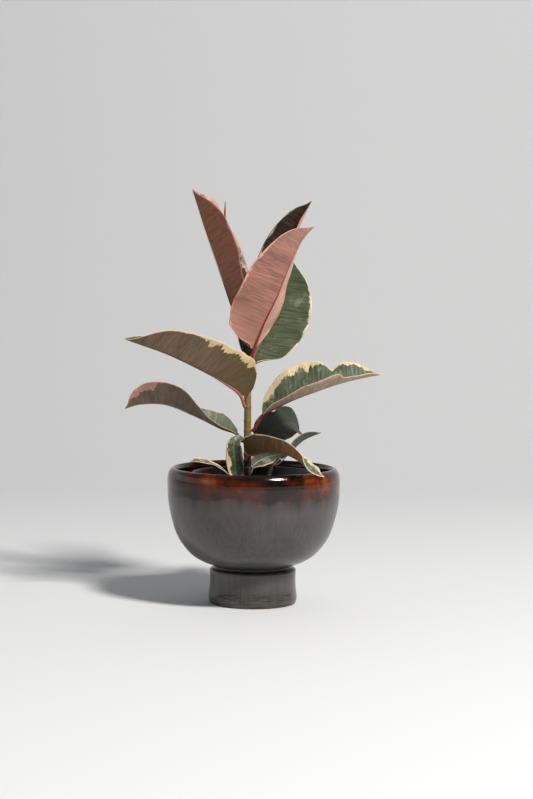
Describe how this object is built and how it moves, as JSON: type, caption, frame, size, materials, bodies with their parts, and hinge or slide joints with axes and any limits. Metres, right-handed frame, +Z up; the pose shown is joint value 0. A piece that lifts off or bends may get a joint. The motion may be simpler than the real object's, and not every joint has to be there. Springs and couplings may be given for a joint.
{
  "type": "potted rubber plant",
  "caption": "Young variegated rubber plant in a nursery pot, set inside a footed round stoneware bowl planter; stands on its foot ring.",
  "frame": {"origin": "the bowl's axis at the floor, midway between the outermost leaves", "axes": "+Z up, the object's longest way; -Y is the front, where one leaf hangs over the lip; +X is to the right seen from the front"},
  "size_m": [0.2415, 0.1842, 0.3814],
  "materials": {
    "stoneware": "satin glaze, iron brown at the lip",
    "nursery_plastic": "moulded",
    "soil": "crumbly peat and bark",
    "stem": "green bark",
    "sheath": "thin, satin",
    "young_leaf": "satin, pink underneath",
    "leaf": "satin, cream margins"
  },
  "bodies": {
    "root": {"planter_bowl": "stoneware", "nursery_pot": "nursery_plastic", "potting_soil": "soil", "main_stem": "stem", "side_shoot": "stem", "bud_sheath": "sheath", "leaf_spear": "young_leaf", "leaf_top_front": "young_leaf", "leaf_top_back": "leaf", "leaf_top_right": "leaf", "leaf_mid_left": "leaf", "leaf_low_left": "leaf", "leaf_mid_right": "leaf", "leaf_low_back": "leaf", "leaf_rim_front": "leaf", "leaf_shoot": "leaf", "leaf_low_inner": "leaf", "leaf_low_front": "leaf", "leaf_rim_left": "leaf"}
  },
  "joints": []
}
